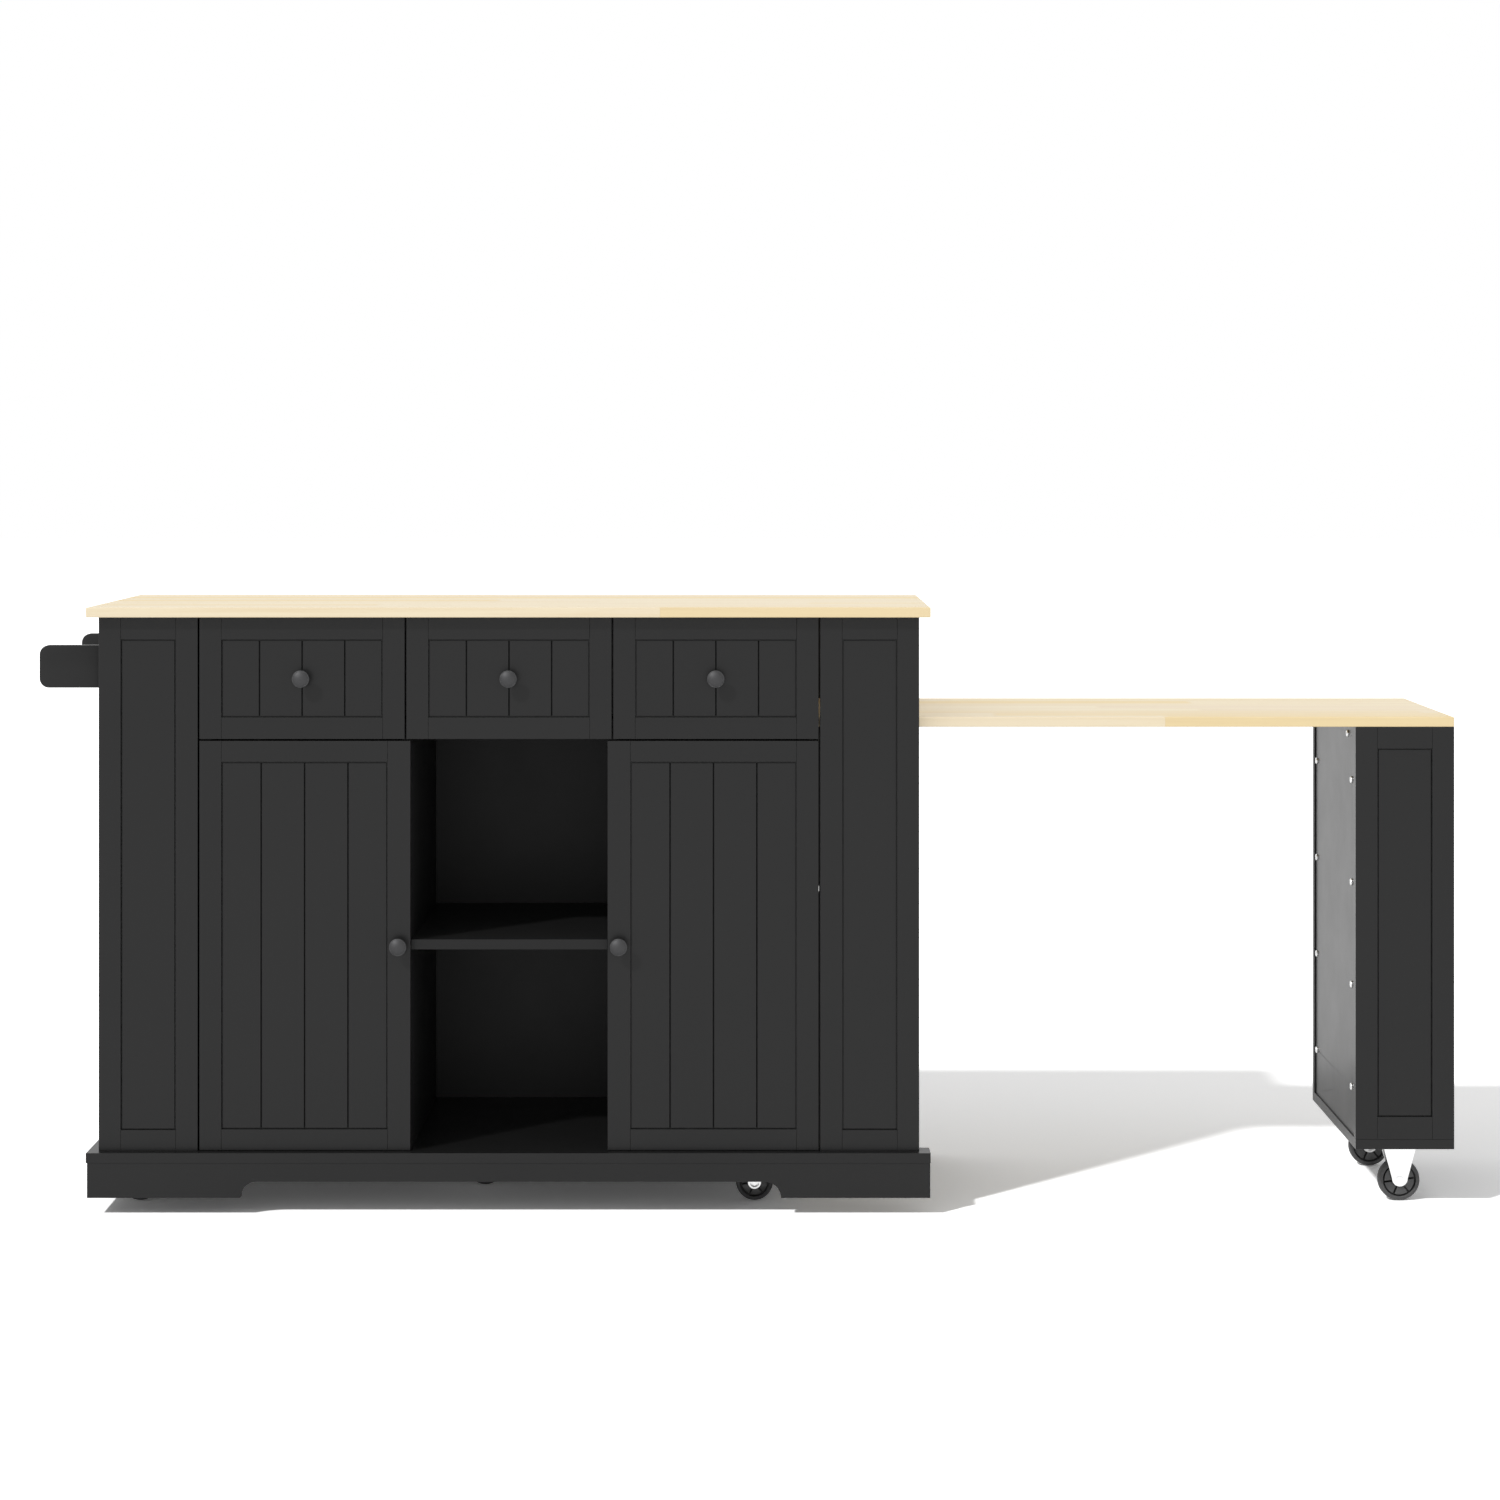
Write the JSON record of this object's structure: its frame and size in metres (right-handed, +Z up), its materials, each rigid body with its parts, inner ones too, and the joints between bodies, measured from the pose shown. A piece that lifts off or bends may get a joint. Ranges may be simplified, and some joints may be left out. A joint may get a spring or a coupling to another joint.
{
  "type": "kitchen island",
  "caption": "Rolling kitchen island with drawers, doors, an open niche, a towel rack and a wooden table top that slides out on its own shelf leg.",
  "frame": {"origin": "bottom centre of the whole object with the table drawn out, on the floor", "axes": "+Z up, +X to the right as seen from the front, towards the sliding table, +Y to the back"},
  "size_m": [2.1604, 0.478, 0.92],
  "materials": {
    "charcoal_paint": "satin paint",
    "pale_wood": "satin",
    "zinc_steel": "bright",
    "gunmetal": "satin",
    "black_metal": "satin",
    "wheel_rubber": "matte"
  },
  "bodies": {
    "cabinet": {"worktop": "pale_wood", "base_board": "charcoal_paint", "front_plinth": "charcoal_paint", "left_and_rear_plinth": "charcoal_paint", "left_side_panel": "charcoal_paint", "left_divider": "charcoal_paint", "right_divider": "charcoal_paint", "niche_dividers": "charcoal_paint", "deck_board": "charcoal_paint", "drawer_partitions": "charcoal_paint", "back_panel": "charcoal_paint", "shelves": "charcoal_paint", "pins_and_screws": "zinc_steel", "left_column": "charcoal_paint", "right_column": "charcoal_paint", "table_guide": "charcoal_paint", "towel_brackets": "charcoal_paint", "towel_rod": "black_metal", "hinge_arms": "zinc_steel", "drawer_rails": "zinc_steel", "caster_plates": "zinc_steel"},
    "left_door_leaf": {"left_door": "charcoal_paint", "left_door_knob": "gunmetal", "left_door_hinge_cups": "zinc_steel"},
    "right_door_leaf": {"right_door": "charcoal_paint", "right_door_knob": "gunmetal", "right_door_hinge_cups": "zinc_steel"},
    "left_drawer": {"left_drawer_front": "charcoal_paint", "left_drawer_box": "charcoal_paint", "left_drawer_knob": "gunmetal", "left_drawer_runners": "zinc_steel"},
    "middle_drawer": {"middle_drawer_front": "charcoal_paint", "middle_drawer_box": "charcoal_paint", "middle_drawer_knob": "gunmetal", "middle_drawer_runners": "zinc_steel"},
    "right_drawer": {"right_drawer_front": "charcoal_paint", "right_drawer_box": "charcoal_paint", "right_drawer_knob": "gunmetal", "right_drawer_runners": "zinc_steel"},
    "sliding_table": {"table_top": "pale_wood", "leg_front_column": "charcoal_paint", "leg_rear_board": "charcoal_paint", "leg_base_board": "charcoal_paint", "leg_back_panel": "charcoal_paint", "leg_shelves": "charcoal_paint", "leg_top_cleat": "charcoal_paint", "leg_screws": "zinc_steel", "leg_caster_forks": "zinc_steel"},
    "front_left_swivel": {"front_left_fork": "zinc_steel"},
    "front_left_roller": {"front_left_wheel": "wheel_rubber"},
    "front_right_swivel": {"front_right_fork": "zinc_steel"},
    "front_right_roller": {"front_right_wheel": "wheel_rubber"},
    "rear_left_swivel": {"rear_left_fork": "zinc_steel"},
    "rear_left_roller": {"rear_left_wheel": "wheel_rubber"},
    "rear_right_swivel": {"rear_right_fork": "zinc_steel"},
    "rear_right_roller": {"rear_right_wheel": "wheel_rubber"},
    "middle_swivel": {"middle_fork": "zinc_steel"},
    "middle_roller": {"middle_wheel": "wheel_rubber"},
    "leg_front_roller": {"leg_front_wheel": "wheel_rubber"},
    "leg_rear_roller": {"leg_rear_wheel": "wheel_rubber"}
  },
  "joints": [
    {"name": "left_drawer_slide", "type": "slide", "parent": "cabinet", "child": "left_drawer", "axis": [0, -1, 0], "range_m": [0, 0.3]},
    {"name": "middle_drawer_slide", "type": "slide", "parent": "cabinet", "child": "middle_drawer", "axis": [0, -1, 0], "range_m": [0, 0.3]},
    {"name": "right_drawer_slide", "type": "slide", "parent": "cabinet", "child": "right_drawer", "axis": [0, -1, 0], "range_m": [0, 0.3]},
    {"name": "left_door_hinge", "type": "hinge", "parent": "cabinet", "child": "left_door_leaf", "pos_m": [-0.82945, -0.214, 0.4075], "axis": [0, 0, -1], "range_deg": [0, 110]},
    {"name": "right_door_hinge", "type": "hinge", "parent": "cabinet", "child": "right_door_leaf", "pos_m": [0.10995, -0.214, 0.4075], "axis": [0, 0, 1], "range_deg": [0, 110]},
    {"name": "table_slide", "type": "slide", "parent": "cabinet", "child": "sliding_table", "axis": [-1, 0, 0], "range_m": [0, 0.8175]},
    {"name": "front_left_caster_swivel", "type": "hinge", "parent": "cabinet", "child": "front_left_swivel", "pos_m": [-0.91005, -0.112, 0.07], "axis": [0, 0, 1], "continuous": true},
    {"name": "front_left_wheel_spin", "type": "hinge", "parent": "front_left_swivel", "child": "front_left_roller", "pos_m": [-0.93505, -0.112, 0.0285], "axis": [0, 1, 0], "continuous": true},
    {"name": "front_right_caster_swivel", "type": "hinge", "parent": "cabinet", "child": "front_right_swivel", "pos_m": [0.03785, -0.112, 0.07], "axis": [0, 0, 1], "continuous": true},
    {"name": "front_right_wheel_spin", "type": "hinge", "parent": "front_right_swivel", "child": "front_right_roller", "pos_m": [0.01285, -0.112, 0.0285], "axis": [0, 1, 0], "continuous": true},
    {"name": "rear_left_caster_swivel", "type": "hinge", "parent": "cabinet", "child": "rear_left_swivel", "pos_m": [-0.91005, 0.12, 0.07], "axis": [0, 0, 1], "continuous": true},
    {"name": "rear_left_wheel_spin", "type": "hinge", "parent": "rear_left_swivel", "child": "rear_left_roller", "pos_m": [-0.93505, 0.12, 0.0285], "axis": [0, 1, 0], "continuous": true},
    {"name": "rear_right_caster_swivel", "type": "hinge", "parent": "cabinet", "child": "rear_right_swivel", "pos_m": [0.03785, 0.12, 0.07], "axis": [0, 0, 1], "continuous": true},
    {"name": "rear_right_wheel_spin", "type": "hinge", "parent": "rear_right_swivel", "child": "rear_right_roller", "pos_m": [0.01285, 0.12, 0.0285], "axis": [0, 1, 0], "continuous": true},
    {"name": "middle_caster_swivel", "type": "hinge", "parent": "cabinet", "child": "middle_swivel", "pos_m": [-0.4361, 0.004, 0.07], "axis": [0, 0, 1], "continuous": true},
    {"name": "middle_wheel_spin", "type": "hinge", "parent": "middle_swivel", "child": "middle_roller", "pos_m": [-0.4111, 0.004, 0.0285], "axis": [0, 1, 0], "continuous": true},
    {"name": "leg_front_wheel_spin", "type": "hinge", "parent": "sliding_table", "child": "leg_front_roller", "pos_m": [1.00815, -0.112, 0.032], "axis": [0, 1, 0], "continuous": true},
    {"name": "leg_rear_wheel_spin", "type": "hinge", "parent": "sliding_table", "child": "leg_rear_roller", "pos_m": [1.00815, 0.151, 0.032], "axis": [0, 1, 0], "continuous": true}
  ]
}
